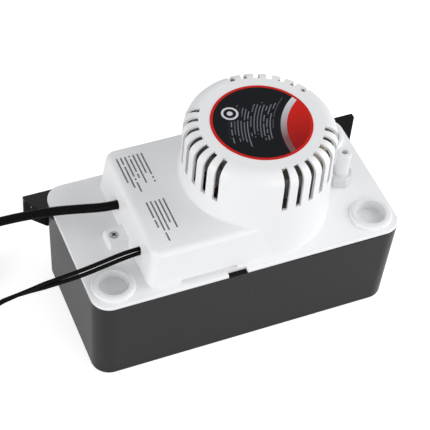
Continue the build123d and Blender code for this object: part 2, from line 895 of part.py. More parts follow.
def nozzle_direction():
    """Angle of the nozzle in plan, tangent to the volute and aimed at the outlet."""
    across = math.hypot(outlet_x - dome_x, outlet_y - housing_y)
    aim = math.degrees(math.atan2(outlet_y - housing_y, outlet_x - dome_x))
    return aim + math.degrees(math.asin(nozzle_offset() / across))


def nozzle_offset():
    """Distance from the shaft's axis to the nozzle's centre line."""
    return volute_start + 3 * volute_growth - nozzle_bore / 2


def volute_quarter(number):
    """Centre and radius of one quarter of the volute, about the corners of a square."""
    step = volute_growth
    centres = [(0, 0), (-step, 0), (-step, -step), (0, -step)]
    return centres[number], volute_start + number * step


def volute_plan(grow):
    """Four quarter arcs of growing radius, the first one starting at the front."""
    edges = []
    for number in range(4):
        centre, radius = volute_quarter(number)
        edges.append(CenterArc(centre, radius + grow, 90 * number - 90, 90))
    first = edges[0] @ 0
    last = edges[3] @ 1
    edges.append(Line(last, first))
    return make_face(edges)


def volute_frame():
    """Place of the volute: its nozzle leaves along its own +X."""
    return Pos(dome_x, housing_y, 0) * Rot(0, 0, nozzle_direction())


def volute_body():
    low = volute_bottom
    middle = (low + volute_top - volute_roof) / 2
    outer_plan = make_hull(volute_plan(volute_wall).edges())
    outer = Pos(0, 0, low) * extrude(outer_plan, volute_top - low)
    outer = fillet(outer.faces().sort_by(Axis.Z)[-1].edges(), 1.5)
    tube = nozzle_bore + 2 * nozzle_wall
    along = Pos(nozzle_length / 2, -nozzle_offset(), middle) * Rot(0, 90, 0)
    outer += along * Cylinder(tube / 2, nozzle_length)
    chamber = Pos(0, 0, low - 1) * extrude(volute_plan(0), volute_top - volute_roof - low + 1)
    outer -= chamber
    outer -= along * Cylinder(nozzle_bore / 2, nozzle_length + 2)
    outer -= rod(shaft_diameter + 2, low, volute_top + 1)
    for x, y in volute_screw_places():
        lug = rod(volute_lug, low, low + volute_lug, x, y)
        outer += lug - chamber
        outer -= rod(volute_screw + 0.1, low - 1, low + volute_lug - 1, x, y)
    return volute_frame() * outer


def volute_screw_places():
    """Three screws round the volute, clear of the nozzle."""
    places = []
    for number, angle in ((1, 45.0), (2, 150.0), (3, 225.0)):
        centre, radius = volute_quarter(number)
        reach = radius + volute_wall + 1.5
        turn = math.radians(angle)
        places.append((centre[0] + reach * math.cos(turn), centre[1] + reach * math.sin(turn)))
    return places


def volute_cover():
    high = volute_bottom
    low = high - cover_thickness
    plate = Pos(0, 0, low) * extrude(make_hull(volute_plan(volute_wall).edges()), cover_thickness)
    for x, y in volute_screw_places():
        plate += rod(volute_lug, low, high, x, y)
        plate -= rod(volute_screw + 0.5, low - 1, high + 1, x, y)
    plate -= rod(eye_diameter, low - 1, high + 1)
    return volute_frame() * plate


def volute_screws():
    screws = []
    for x, y in volute_screw_places():
        low = volute_bottom - cover_thickness
        head = rod(volute_screw_head, low - volute_screw_head_height, low, x, y)
        screws.append(head + rod(volute_screw, low, low + volute_lug, x, y))
    return volute_frame() * Compound(screws)


def intake_screen():
    """Slotted cup under the pump's eye that stands on the tank's floor."""
    high = volute_bottom - cover_thickness
    low = tank_floor
    wall = 1.5
    ring = rod(screen_diameter, low, high) - rod(screen_diameter - 2 * wall, low - 1, high + 1)
    gap_low = low - 1
    gap_high = high - 2.0
    for number in range(screen_slots):
        ring -= Rot(0, 0, number * 360 / screen_slots) * block(
            screen_diameter / 2 - 2 * wall, screen_diameter / 2 + 1,
            -screen_slot_width / 2, screen_slot_width / 2, gap_low, gap_high,
        )
    return at_shaft(ring)


def impeller():
    """Open impeller: a disc, a hub and backward-curved vanes under the disc."""
    disc_low = impeller_top - impeller_disc
    disc = rod(impeller_diameter, disc_low, impeller_top)
    disc += rod(shaft_diameter + 5, impeller_bottom, impeller_top + 1.5)
    radius = impeller_diameter / 2
    for number in range(impeller_vanes):
        arc = ThreePointArc((4.6, 0), (10.0, 3.4), (radius - 1.5, 1.0))
        vane = extrude(trace(arc, impeller_vane_thickness), disc_low - impeller_bottom)
        disc += Pos(0, 0, impeller_bottom) * Rot(0, 0, number * 360 / impeller_vanes) * vane
    disc -= rod(shaft_diameter + 2 * press_gap, impeller_bottom + 1 - press_gap, impeller_top + 5)
    return at_shaft(disc)


def pump_column():
    """Open column that hangs the pump under the lid round the shaft."""
    high = tank_height
    column = rod(column_diameter, volute_top, high)
    for low in (volute_top, high - column_flange_height):
        column += rod(column_flange, low, low + column_flange_height)
    column -= rod(column_bore, volute_top - 1, high + 1)
    slot_low = (volute_top + high - column_slot_height) / 2
    for number in range(column_slots):
        column -= Rot(0, 0, 90 + number * 360 / column_slots) * block(
            0, column_diameter, -column_slot_width / 2, column_slot_width / 2,
            slot_low, slot_low + column_slot_height,
        )
    return at_shaft(column)


def riser_pipe():
    """Pipe from the nozzle's end along the tank and up into the outlet's sleeve."""
    turn = math.radians(nozzle_direction())
    offset = nozzle_offset()
    middle = (volute_bottom + volute_top - volute_roof) / 2
    start = Vector(
        dome_x + nozzle_length * math.cos(turn) + offset * math.sin(turn),
        housing_y + nozzle_length * math.sin(turn) - offset * math.cos(turn),
        middle,
    )
    corner = Vector(outlet_x, outlet_y, middle)
    end = Vector(outlet_x, outlet_y, seat_z - nut_neck - fit_gap)
    path = FilletPolyline(start, corner, end, radius=pipe_bend)
    section = Plane(origin=start, z_dir=corner - start)
    pipe = sweep(section * Circle(pipe_diameter / 2), path=path)
    return pipe - sweep(section * Circle(pipe_bore / 2), path=path)


# ---------------------------------------------------------------- float and switches

def float_body():
    solid = slab(float_length, float_width, float_corner, float_bottom, float_top, float_x, housing_y)
    solid = fillet(solid.faces().sort_by(Axis.Z)[0].edges(), float_edge)
    solid = fillet(solid.faces().sort_by(Axis.Z)[-1].edges(), float_edge)
    bore = rod_diameter + 2 * press_gap
    return solid - rod(bore, float_bottom - 1, float_top + 1, float_x, housing_y)


def float_rod():
    solid = rod(rod_diameter, float_bottom - rod_foot, rod_top, float_x, housing_y)
    return chamfer(solid.edges().filter_by(GeomType.CIRCLE), 0.5)


def rod_collars():
    collars = []
    for low in (lower_collar_z, upper_collar_z):
        ring = rod(2 * collar_radius, low, low + collar_thickness, float_x, housing_y)
        ring -= rod(rod_diameter + 2 * press_gap, low - 1, low + 5, float_x, housing_y)
        collars.append(ring)
    return Compound(collars)


def rod_clip():
    """Push-on clip that holds the float's foot on the rod."""
    low = float_bottom - rod_foot + 0.5
    ring = rod(2 * rod_diameter, low, float_bottom, float_x, housing_y)
    return ring - rod(rod_diameter + 2 * press_gap, low - 1, float_bottom + 1, float_x, housing_y)


def pivot_place():
    return Pos(pivot_x, housing_y, pivot_z)


def cam(side):
    """Cam whose radius grows evenly over the lever's swing, in the lever's own frame."""
    margin = 14.0
    points = []
    sweep_angle = lever_swing + 2 * margin
    steps = 6
    for number in range(steps + 1):
        angle = -margin + sweep_angle * number / steps
        radius = cam_radius + cam_slope * math.radians(angle)
        # counted from straight up, towards the rod, with the lever at its lowest
        turn = math.radians(90 + angle)
        points.append((radius * math.cos(turn), radius * math.sin(turn)))
    edge = Spline(*points)
    face = make_face([edge, Line(points[-1], (0, 0)), Line((0, 0), points[0])])
    face += Circle(hub_diameter / 2)
    solid = Plane.XZ * extrude(face, cam_width / 2, both=True)
    return Pos(0, side * switch_offset, 0) * solid


def lever():
    """Rocking lever: forked arm, hub and two cams, drawn with the float at its lowest."""
    arm_end = lever_arm + lever_end
    plate = Pos(-arm_end / 2, 0, 0) * Box(arm_end, lever_width, lever_thickness)
    plate = fillet(upright_edges_at(plate, -arm_end, 0, lever_width), 3.0)
    swing = math.radians(lever_swing / 2)
    slide = lever_arm * (1 - math.cos(swing))
    slot_length = rod_diameter + slide + 2 * rod_gap + 1.0
    slot = SlotOverall(slot_length + 1.6, rod_diameter + 2 * rod_gap)
    plate -= Pos(-lever_arm + slide / 2, 0, -5) * extrude(slot, 10)
    rib = block(-lever_arm + 8, 0, -1.0, 1.0, 0, 3.5)
    hub = Rot(90, 0, 0) * Cylinder(hub_diameter / 2, hub_length)
    arm = Rot(0, -lever_swing / 2, 0) * (plate + rib)
    solid = hub + arm + cam(-1) + cam(1)
    solid -= Rot(90, 0, 0) * Cylinder(pin_diameter / 2 + pin_gap, hub_length + 2)
    return pivot_place() * solid


def lever_pin():
    half = plate_y + plate_thickness + 1.0
    pin = Rot(90, 0, 0) * Cylinder(pin_diameter / 2, 2 * half)
    head = Pos(0, -half + 0.5, 0) * Rot(90, 0, 0) * Cylinder(pin_diameter / 2 + 1.2, 1.0)
    return pivot_place() * (pin + head)


def plunger(side):
    """Round-ended pin over the cam that presses the switch."""
    tip = pivot_z + cam_radius + plunger_gap
    radius = plunger_diameter / 2
    length = switch_lift + 4.0
    pin = rod(plunger_diameter, tip + radius, tip + length) + Pos(0, 0, tip + radius) * Sphere(radius)
    return Pos(pivot_x, housing_y + side * switch_offset, 0) * pin


def switch_body(side):
    middle_z = switch_z + switch_height / 2
    body = Pos(0, 0, middle_z) * Box(switch_length, switch_thickness, switch_height)
    body = fillet(body.edges().filter_by(Axis.Y), 0.8)
    body -= rod(plunger_diameter + 2 * fit_gap, switch_z - 1, switch_z + 5.5)
    for x in (-switch_hole_spacing / 2, switch_hole_spacing / 2):
        body -= Pos(x, 0, switch_hole_z) * Rot(90, 0, 0) * Cylinder(switch_hole / 2, plate_y)
    return Pos(pivot_x, housing_y + side * switch_offset, 0) * body


def switch_terminals():
    blades = []
    top = switch_z + switch_height
    for side in (-1, 1):
        for x in (-terminal_spacing, 0.0, terminal_spacing):
            middle = Pos(pivot_x + x, housing_y + side * switch_offset, top + terminal_height / 2)
            blades.append(middle * Box(terminal_thickness, terminal_width, terminal_height))
    return Compound(blades)


def switch_pins():
    """Two long pins through both switches and the bracket's cheeks."""
    pins = []
    half = plate_y + plate_thickness + 0.8
    for x in (-switch_hole_spacing / 2, switch_hole_spacing / 2):
        pin = Rot(90, 0, 0) * Cylinder(switch_hole / 2 - 0.05, 2 * half)
        pins.append(Pos(pivot_x + x, housing_y, switch_hole_z) * pin)
    return Compound(pins)


def bracket_screw_places():
    x = pivot_x + (plate_width - foot_width) / 2
    out = plate_y + foot_screw
    return [(x, housing_y - out), (x, housing_y + out)]


def switch_bracket():
    """Bent steel bracket: two cheeks that carry the pin and switches, on feet."""
    bracket_top = switch_z + switch_height - plate_drop
    across = 4 * plate_y
    solid = None
    for side in (-1, 1):
        near = housing_y + side * plate_y
        far = housing_y + side * (plate_y + plate_thickness)
        y0, y1 = min(near, far), max(near, far)
        left = pivot_x - plate_width / 2
        right = pivot_x + plate_width / 2
        cheek = block(left, right, y0, y1, lid_top, bracket_top)
        cheek = fillet(cheek.edges().filter_by(Axis.Y).sort_by(Axis.Z)[-2:], 4.0)
        foot_end = housing_y + side * (plate_y + foot_reach)
        foot = block(
            right - foot_width, right, min(near, foot_end), max(near, foot_end),
            lid_top, lid_top + plate_thickness,
        )
        cheek += foot
        solid = cheek if solid is None else solid + cheek
    web = block(
        pivot_x + plate_width / 2 - plate_thickness, pivot_x + plate_width / 2,
        housing_y - plate_y, housing_y + plate_y, lid_top, pivot_z - web_drop,
    )
    solid += web
    solid -= pivot_place() * Rot(90, 0, 0) * Cylinder(pin_diameter / 2 + press_gap, across)
    for x in (-switch_hole_spacing / 2, switch_hole_spacing / 2):
        hole = Pos(pivot_x + x, housing_y, switch_hole_z) * Rot(90, 0, 0)
        solid -= hole * Cylinder(switch_hole / 2, across)
    for x, y in bracket_screw_places():
        solid -= rod(screw_shank + 0.4, lid_top - 1, lid_top + 3, x, y)
    return solid


def bracket_screws():
    screws = []
    low = lid_top + plate_thickness
    for x, y in bracket_screw_places():
        head = rod(foot_screw_head, low, low + screw_head_height, x, y)
        screws.append(head + rod(screw_shank, low - foot_screw_length, low, x, y))
    return Compound(screws)


# ---------------------------------------------------------------- cords

def cord_radii(route):
    """Largest corner radii for a route: 0.45 of the shorter run over the half turn."""
    radii = []
    for number in range(1, len(route) - 1):
        before = Vector(route[number]) - Vector(route[number - 1])
        after = Vector(route[number + 1]) - Vector(route[number])
        half = math.radians(before.get_angle(after)) / 2
        radii.append(0.45 * min(before.length, after.length) / math.tan(half))
    return radii


def cord_tube(name, route, diameter):
    """Round tube of straight runs and tangent arcs along a route."""
    radii = cord_radii(route)
    path = FilletPolyline(*route, radius=radii)
    section = Plane(origin=path @ 0, z_dir=path % 0) * Circle(diameter / 2)
    tube = sweep(section, path=path)
    expected = math.pi * diameter**2 / 4 * path.length
    print(name, "length", round(path.length, 1), "radii", [round(r) for r in radii])
    print(name, "volume", round(tube.volume), "expected", round(expected))
    return tube


def cord_grip(y, width):
    """Clamp block inside the left wall that holds a cord's end."""
    solid = block(
        grip_face_x, grip_face_x + grip_length, y - width / 2, y + width / 2,
        lid_top, exit_z + 8,
    )
    return fillet(solid.edges().filter_by(Axis.X).sort_by(Axis.Z)[-2:], 2.0)


def coil_ring(x, y, radius, band, height):
    """Closed ring of the outer shape of a coiled cord."""
    ring = rod(2 * radius + band, 0, height, x, y) - rod(2 * radius - band, -1, height + 1, x, y)
    rims = ring.edges().filter_by(GeomType.CIRCLE)
    return fillet(rims, min(coil_round, band / 2 - 1))


def plug_place():
    """Frame of the plug: origin where the cord enters it, +X towards the blades."""
    turn = math.radians(tail_angle)
    start_x = coil_x + tail_radius * math.cos(turn) - tail_run * math.sin(turn)
    start_y = power_coil_y + tail_radius * math.sin(turn) + tail_run * math.cos(turn)
    return Pos(start_x, start_y, plug_body_height / 2) * Rot(0, 0, tail_angle + 90)


def power_plug():
    """Moulded plug: a stepped strain relief and a body that swells towards its face."""
    relief = loft([
        Plane.YZ * Circle(cord_diameter / 2 + 1.0),
        Plane.YZ.offset(plug_relief) * Circle(cord_diameter / 2 + 3.0),
    ])
    body = loft([
        Plane.YZ.offset(plug_relief) * RectangleRounded(plug_body_width - 9, plug_body_height - 7, 5),
        Plane.YZ.offset(plug_relief + plug_body_length * 0.6) * RectangleRounded(
            plug_body_width, plug_body_height, 7),
        Plane.YZ.offset(plug_relief + plug_body_length) * RectangleRounded(
            plug_body_width, plug_body_height, 7),
    ], ruled=True)
    return plug_place() * (relief + body)


def plug_blades():
    """Two flat blades and a round earth pin."""
    face = plug_relief + plug_body_length
    pins = []
    for side in (-1, 1):
        blade = Pos(face + blade_length / 2, side * blade_spacing / 2, 2.5)
        pins.append(blade * Box(blade_length, blade_thickness, blade_width))
    ground = Pos(face + blade_length / 2 + 1, 0, -5.6) * Rot(0, 90, 0)
    pins.append(ground * Cylinder(ground_diameter / 2, blade_length + 2))
    return plug_place() * Compound(pins)


def power_tail():
    """Short straight end of the cord between its coil and its plug."""
    turn = math.radians(tail_angle)
    middle_x = coil_x + tail_radius * math.cos(turn)
    middle_y = power_coil_y + tail_radius * math.sin(turn)
    along = Pos(middle_x, middle_y, plug_body_height / 2) * Rot(0, 0, tail_angle + 90)
    rim = power_coil_radius + coil_band / 2
    start = math.sqrt(rim**2 - tail_radius**2) - 2
    return along * Pos((start + tail_run) / 2, 0, 0) * Rot(0, 90, 0) * Cylinder(
        cord_diameter / 2, tail_run - start
    )


pieces = {
    "tank": tank,
    "lid": lid,
    "motor_housing": motor_housing,
    "round_label": round_label,
    "info_label": info_label,
    "housing_screw": housing_screw,
    "inlet_plug_left": lambda: inlet_plug(-inlet_x, -inlet_y),
    "inlet_plug_right": lambda: inlet_plug(inlet_x, -inlet_y),
    "outlet_nut": outlet_nut,
    "outlet_tube": outlet_tube,
    "check_ball": check_ball,
    "stator_core": stator_core,
    "coil_bobbin": coil_bobbin,
    "coil_winding": coil_winding,
    "shading_rings": shading_rings,
    "lower_bracket": lambda: bracket(lower_bracket_z, stack_bottom),
    "upper_bracket": lambda: bracket(upper_bracket_z, stack_top),
    "bearing_bushes": bearing_bushes,
    "motor_screws": motor_screws,
    "rotor_core": rotor_core,
    "shaft": shaft,
    "cooling_fan": cooling_fan,
    "slinger": slinger,
    "impeller": impeller,
    "volute_body": volute_body,
    "volute_cover": volute_cover,
    "volute_screws": volute_screws,
    "intake_screen": intake_screen,
    "pump_column": pump_column,
    "riser_pipe": riser_pipe,
    "float_body": float_body,
    "float_rod": float_rod,
    "rod_collars": rod_collars,
    "rod_clip": rod_clip,
    "lever": lever,
    "lever_pin": lever_pin,
    "main_plunger": lambda: plunger(-1),
    "safety_plunger": lambda: plunger(1),
    "main_switch": lambda: switch_body(-1),
    "safety_switch": lambda: switch_body(1),
    "switch_terminals": switch_terminals,
    "switch_pins": switch_pins,
    "switch_bracket": switch_bracket,
    "bracket_screws": bracket_screws,
    "power_cord_grip": lambda: cord_grip(cord_y, grip_width),
    "switch_lead_grip": lambda: cord_grip(lead_y, grip_width),
    "power_cord": lambda: cord_tube("power_cord", power_route, cord_diameter),
    "power_cord_coil": lambda: coil_ring(
        coil_x, power_coil_y, power_coil_radius, coil_band, coil_rise),
    "power_cord_tail": power_tail,
    "power_plug": power_plug,
    "plug_blades": plug_blades,
    "switch_lead": lambda: cord_tube("switch_lead", lead_route, lead_diameter),
    "switch_lead_coil": lambda: coil_ring(
        coil_x, lead_coil_y, lead_coil_radius, lead_coil_width, lead_coil_height),
}

os.makedirs("parts", exist_ok=True)
for name, make in pieces.items():
    export_step(make(), f"parts/{name}.step")
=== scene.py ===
import math

import bpy
from mathutils import Matrix, Vector


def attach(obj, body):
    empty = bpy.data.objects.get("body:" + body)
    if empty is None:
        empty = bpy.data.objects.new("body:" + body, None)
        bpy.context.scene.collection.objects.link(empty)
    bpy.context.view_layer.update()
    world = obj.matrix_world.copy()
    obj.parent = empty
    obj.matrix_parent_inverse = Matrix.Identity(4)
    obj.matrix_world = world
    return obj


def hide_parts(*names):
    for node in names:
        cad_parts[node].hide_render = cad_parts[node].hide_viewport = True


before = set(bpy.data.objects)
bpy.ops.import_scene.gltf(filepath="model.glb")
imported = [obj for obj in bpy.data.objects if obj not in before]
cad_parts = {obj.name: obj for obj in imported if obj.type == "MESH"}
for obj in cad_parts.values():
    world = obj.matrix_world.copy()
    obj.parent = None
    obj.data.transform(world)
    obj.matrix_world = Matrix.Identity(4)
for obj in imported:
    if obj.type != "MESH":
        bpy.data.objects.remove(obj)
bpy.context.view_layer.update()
scene = bpy.context.scene
print("frame loaded")

# camera
camera = {
    "azimuth": -26.602, "elevation": 48.828, "roll": 5.737,  # degrees
    "target": (0.00372, 0.02201, 0.06), "distance": 1.34652,
    "lens": 126.89, "sensor": 36, "nearest": 0.05,
}
azimuth, elevation, roll = (math.radians(camera[key]) for key in ("azimuth", "elevation", "roll"))
back = Vector((
    math.sin(azimuth) * math.cos(elevation),
    -math.cos(azimuth) * math.cos(elevation),
    math.sin(elevation),
))
level = Vector((math.cos(azimuth), math.sin(azimuth), 0))
upward = back.cross(level)
across = math.cos(roll) * level + math.sin(roll) * upward
above = math.cos(roll) * upward - math.sin(roll) * level
lens = bpy.data.cameras.new("camera")
lens.lens = camera["lens"]
lens.sensor_width = camera["sensor"]
lens.clip_start = camera["nearest"]
viewer = bpy.data.objects.new("camera", lens)
viewer.matrix_world = Matrix.Translation(
    Vector(camera["target"]) + camera["distance"] * back
) @ Matrix((across, above, back)).transposed().to_4x4()
scene.collection.objects.link(viewer)
scene.camera = viewer
print("camera placed")


# materials

def paint(red, green, blue):
    # screen colour from 0 to 255, as the linear colour that a socket takes
    values = []
    for value in (red, green, blue):
        share = value / 255
        values.append(share / 12.92 if share < 0.04045 else ((share + 0.055) / 1.055) ** 2.4)
    return (*values, 1)


def newMaterial(name):
    material = bpy.data.materials.new(name)
    material.use_nodes = True
    tree = material.node_tree
    return material, tree, tree.nodes["Principled BSDF"]


def calc(tree, operation, *values):
    node = tree.nodes.new("ShaderNodeMath")
    node.operation = operation
    for number, value in enumerate(values):
        if isinstance(value, (int, float)):
            node.inputs[number].default_value = value
        else:
            tree.links.new(value, node.inputs[number])
    return node.outputs[0]


def times(tree, first, second):
    return calc(tree, "MULTIPLY", first, second)


def under(tree, value, limit):
    return calc(tree, "LESS_THAN", value, limit)


def over(tree, value, limit):
    return calc(tree, "GREATER_THAN", value, limit)


def place(tree):
    node = tree.nodes.new("ShaderNodeTexCoord")
    return node.outputs["Object"]


def splitPlace(tree):
    node = tree.nodes.new("ShaderNodeSeparateXYZ")
    tree.links.new(place(tree), node.inputs[0])
    return node.outputs


def noise(tree, scale, detail=2.0, stretch=None):
    node = tree.nodes.new("ShaderNodeTexNoise")
    node.inputs["Scale"].default_value = scale
    node.inputs["Detail"].default_value = detail
    source = place(tree)
    if stretch:
        mapping = tree.nodes.new("ShaderNodeMapping")
        mapping.inputs["Scale"].default_value = stretch
        tree.links.new(source, mapping.inputs["Vector"])
        source = mapping.outputs[0]
    tree.links.new(source, node.inputs["Vector"])
    return node.outputs[0]


def pick(tree, mask, off, on):
    node = tree.nodes.new("ShaderNodeMix")
    node.data_type = "RGBA"
    tree.links.new(mask, node.inputs["Factor"])
    for socket, value in ((node.inputs[6], off), (node.inputs[7], on)):
        if isinstance(value, tuple):
            socket.default_value = value
        else:
            tree.links.new(value, socket)
    return node.outputs[2]


def distance(tree, x, y, centre):
    dx = calc(tree, "SUBTRACT", x, centre[0])
    dy = calc(tree, "SUBTRACT", y, centre[1])
    return calc(tree, "SQRT", calc(tree, "ADD", times(tree, dx, dx), times(tree, dy, dy)))


def between(tree, value, low, high):
    return times(tree, over(tree, value, low), under(tree, value, high))


def every(tree, *masks):
    result = masks[0]
    for mask in masks[1:]:
        result = times(tree, result, mask)
    return result


def rowChance(tree, row):
    node = tree.nodes.new("ShaderNodeTexWhiteNoise")
    node.noise_dimensions = "1D"
    tree.links.new(row, node.inputs["W"])
    return node.outputs[0]


def marks(tree, along, row, dashes):
    # short dashes in a row, with gaps picked by cell
    dash = under(tree, calc(tree, "FRACT", calc(tree, "DIVIDE", along, dashes["pitch"])), dashes["full"])
    cell = calc(tree, "FLOOR", calc(tree, "DIVIDE", along, dashes["cell"]))
    chance = tree.nodes.new("ShaderNodeTexWhiteNoise")
    chance.noise_dimensions = "2D"
    pair = tree.nodes.new("ShaderNodeCombineXYZ")
    tree.links.new(cell, pair.inputs["X"])
    tree.links.new(row, pair.inputs["Y"])
    tree.links.new(pair.outputs[0], chance.inputs["Vector"])
    return times(tree, dash, over(tree, chance.outputs[0], dashes["gaps"]))


def ramp(tree, value, low, high):
    node = tree.nodes.new("ShaderNodeMapRange")
    node.inputs["From Min"].default_value = low
    node.inputs["From Max"].default_value = high
    tree.links.new(value, node.inputs["Value"])
    return node.outputs[0]


def roughen(tree, shader, scale, depth, strength=0.3):
    bump = tree.nodes.new("ShaderNodeBump")
    bump.inputs["Strength"].default_value = strength
    bump.inputs["Distance"].default_value = depth
    tree.links.new(noise(tree, scale, 3.0), bump.inputs["Height"])
    tree.links.new(bump.outputs[0], shader.inputs["Normal"])


def patchy(tree, colour, shade, scale=14):
    return pick(tree, noise(tree, scale, 1.0), paint(*colour), paint(*shade))


def moulded(name, colour, shade, rough, grain, depth, gloss=0.5):
    material, tree, shader = newMaterial(name)
    tree.links.new(patchy(tree, colour, shade), shader.inputs["Base Color"])
    shader.inputs["Roughness"].default_value = rough
    shader.inputs["Specular IOR Level"].default_value = gloss
    roughen(tree, shader, grain, depth)
    return material


def metal(name, colour, shade, rough, stretch, metallic=1):
    material, tree, shader = newMaterial(name)
    streaks = noise(tree, 60, 2.0, stretch)
    tree.links.new(pick(tree, streaks, paint(*colour), paint(*shade)), shader.inputs["Base Color"])
    shader.inputs["Metallic"].default_value = metallic
    shader.inputs["Roughness"].default_value = rough
    return material


def seeThrough(name, colour, passing, rough):
    material, tree, shader = newMaterial(name)
    cloud = noise(tree, 90, 2.0)
    cloudy = tuple(value - 12 for value in colour)
    tree.links.new(pick(tree, cloud, paint(*colour), paint(*cloudy)), shader.inputs["Base Color"])
    shader.inputs["Transmission Weight"].default_value = passing
    shader.inputs["Roughness"].default_value = rough
    shader.inputs["IOR"].default_value = 1.46
    return material


materials = {
    "lid": moulded("lidPlastic", (246, 246, 247), (243, 243, 244), 0.42, 900, 0.00006),
    "plug": moulded("inletPlastic", (236, 236, 236), (230, 230, 231), 0.42, 900, 0.00005),
    "zinc": metal("zincSteel", (186, 188, 190), (150, 154, 160), 0.34, (1, 1, 6)),
    "plated": metal("platedSteel", (206, 212, 220), (172, 180, 192), 0.4, (1, 1, 6), 0.35),
    "bright": metal("brightSteel", (205, 205, 205), (180, 180, 182), 0.22, (1, 1, 9)),
    "copper": metal("copper", (200, 118, 76), (168, 92, 58), 0.32, (1, 1, 4)),
    "bronze": metal("bronze", (190, 150, 90), (160, 120, 66), 0.34, (1, 1, 4)),
    "tape": moulded("coilTape", (240, 226, 192), (228, 208, 166), 0.55, 500, 0.0001),
    "cream": moulded("creamPlastic", (240, 232, 210), (230, 220, 194), 0.45, 700, 0.00005),
    "fan": moulded("fanPlastic", (222, 206, 176), (206, 184, 148), 0.42, 700, 0.00005),
    "switch": moulded("switchPlastic", (40, 40, 42), (32, 32, 34), 0.4, 700, 0.00004),
    "milky": seeThrough("milkyPlastic", (252, 252, 252), 0.12, 0.3),
    "clear": seeThrough("clearPlastic", (252, 253, 253), 0.3, 0.14),
    "foam": moulded("floatFoam", (60, 60, 62), (46, 46, 48), 0.8, 1400, 0.0003),
    "rubber": moulded("blackRubber", (24, 24, 25), (18, 18, 19), 0.6, 900, 0.00006, 0.2),
    "jacket": moulded("cordJacket", (14, 14, 15), (10, 10, 11), 0.3, 800, 0.00003, 0.06),
    "mouldedPlug": moulded("plugRubber", (20, 20, 21), (15, 15, 16), 0.4, 800, 0.00005, 0.2),
}

housing = {
    "colour": (245, 245, 245), "shade": (241, 241, 242), "rough": 0.36,
    # painted shade: the recess along the front wall's foot is painted dark towards its ceiling, where shade
    # falls
    "recess": (-0.064, -0.014), "back": -0.0626, "ceiling": 0.09748,
    "fade": (0.0951, 0.0969), "paintedShade": (84, 84, 86),
}


def housingPlastic():
    material, tree, shader = newMaterial("housingPlastic")
    x, y, z = splitPlace(tree)
    # painted shade in the recess, not a colour of the plastic
    paintedRecessShade = every(
        tree,
        between(tree, x, *housing["recess"]),
        under(tree, y, housing["back"]),
        under(tree, z, housing["ceiling"]),
        ramp(tree, z, *housing["fade"]),
    )
    white = patchy(tree, housing["colour"], housing["shade"])
    tree.links.new(pick(tree, paintedRecessShade, white, paint(*housing["paintedShade"])), shader.inputs["Base Color"])
    shader.inputs["Roughness"].default_value = housing["rough"]
    roughen(tree, shader, 700, 0.00004)
    return material


tank = {
    "colour": (27, 27, 28), "shade": (23, 23, 24), "gloss": 0.3, "rough": 0.3,
    "front": -0.066,  # the front wall lies before this
    "line": 0.0, "lineHalf": 0.0003, "lineFoot": 0.022, "lineColour": (40, 40, 41),
    # painted shadow under the lid's right end and painted shade in its notch, both dark
    "lidShadowFoot": 0.0902, "lidShadowFade": (0.02, 0.05),
    "notch": (-0.0245, -0.0062), "notchFoot": 0.0912,
    "paintedShade": (4, 4, 4), "darkRough": 0.6,
}


def tankPlastic():
    material, tree, shader = newMaterial("tankPlastic")
    x, y, z = splitPlace(tree)
    onFront = under(tree, y, tank["front"])
    offLine = calc(tree, "ABSOLUTE", calc(tree, "SUBTRACT", x, tank["line"]))
    mouldLine = every(
        tree, under(tree, offLine, tank["lineHalf"]), onFront, over(tree, z, tank["lineFoot"]),
    )
    # painted shadow along the wall's top under the lid, fading in towards the right
    lidShadow = every(tree, over(tree, z, tank["lidShadowFoot"]), ramp(tree, x, *tank["lidShadowFade"]))
    # painted shade where the lid's notch lets the wall show
    notch = every(tree, between(tree, x, *tank["notch"]), onFront, over(tree, z, tank["notchFoot"]))
    # painted shadow and shade together, drawn near black and rougher
    paintedShade = calc(tree, "MAXIMUM", lidShadow, notch)
    charcoal = patchy(tree, tank["colour"], tank["shade"], 11)
    charcoal = pick(tree, mouldLine, charcoal, paint(*tank["lineColour"]))
    tree.links.new(pick(tree, paintedShade, charcoal, paint(*tank["paintedShade"])), shader.inputs["Base Color"])
    rough = calc(tree, "ADD", tank["rough"], times(tree, paintedShade, tank["darkRough"]))
    tree.links.new(rough, shader.inputs["Roughness"])
    shader.inputs["Specular IOR Level"].default_value = tank["gloss"]
    roughen(tree, shader, 1100, 0.00006)
    return material


screwHead = {
    "centre": (-0.1015, -0.004), "reach": 0.0028, "below": 0.10285,  # black down in its cross
    # painted shade: the recess colour is near black and stands for the shadow in the cross
    "colour": (206, 207, 209), "shade": (184, 186, 190), "recess": (14, 14, 14),
}


def screwSteel():
    material, tree, shader = newMaterial("screwSteel")
    x, y, z = splitPlace(tree)
    apart = distance(tree, x, y, screwHead["centre"])
    # painted shade down in the cross, drawn black and less metallic
    crossShade = times(tree, under(tree, apart, screwHead["reach"]), under(tree, z, screwHead["below"]))
    steel = pick(tree, noise(tree, 300, 2.0), paint(*screwHead["colour"]), paint(*screwHead["shade"]))
    tree.links.new(pick(tree, crossShade, steel, paint(*screwHead["recess"])), shader.inputs["Base Color"])
    tree.links.new(calc(tree, "SUBTRACT", 0.5, times(tree, crossShade, 0.5)), shader.inputs["Metallic"])
    shader.inputs["Roughness"].default_value = 0.4
    return material


laminations = {
    "pitch": 0.0009, "gap": 0.3,
    "varnish": (190, 198, 208), "worn": (150, 136, 118), "between": (96, 90, 84),
}


def laminationSteel():
    material, tree, shader = newMaterial("laminationSteel")
    x, y, z = splitPlace(tree)
    gap = under(tree, calc(tree, "FRACT", times(tree, z, 1 / laminations["pitch"])), laminations["gap"])
    plate = pick(tree, noise(tree, 70, 3.0), paint(*laminations["varnish"]), paint(*laminations["worn"]))
    tree.links.new(pick(tree, gap, plate, paint(*laminations["between"])), shader.inputs["Base Color"])
    shader.inputs["Metallic"].default_value = 0.15
    shader.inputs["Roughness"].default_value = 0.4
    return material


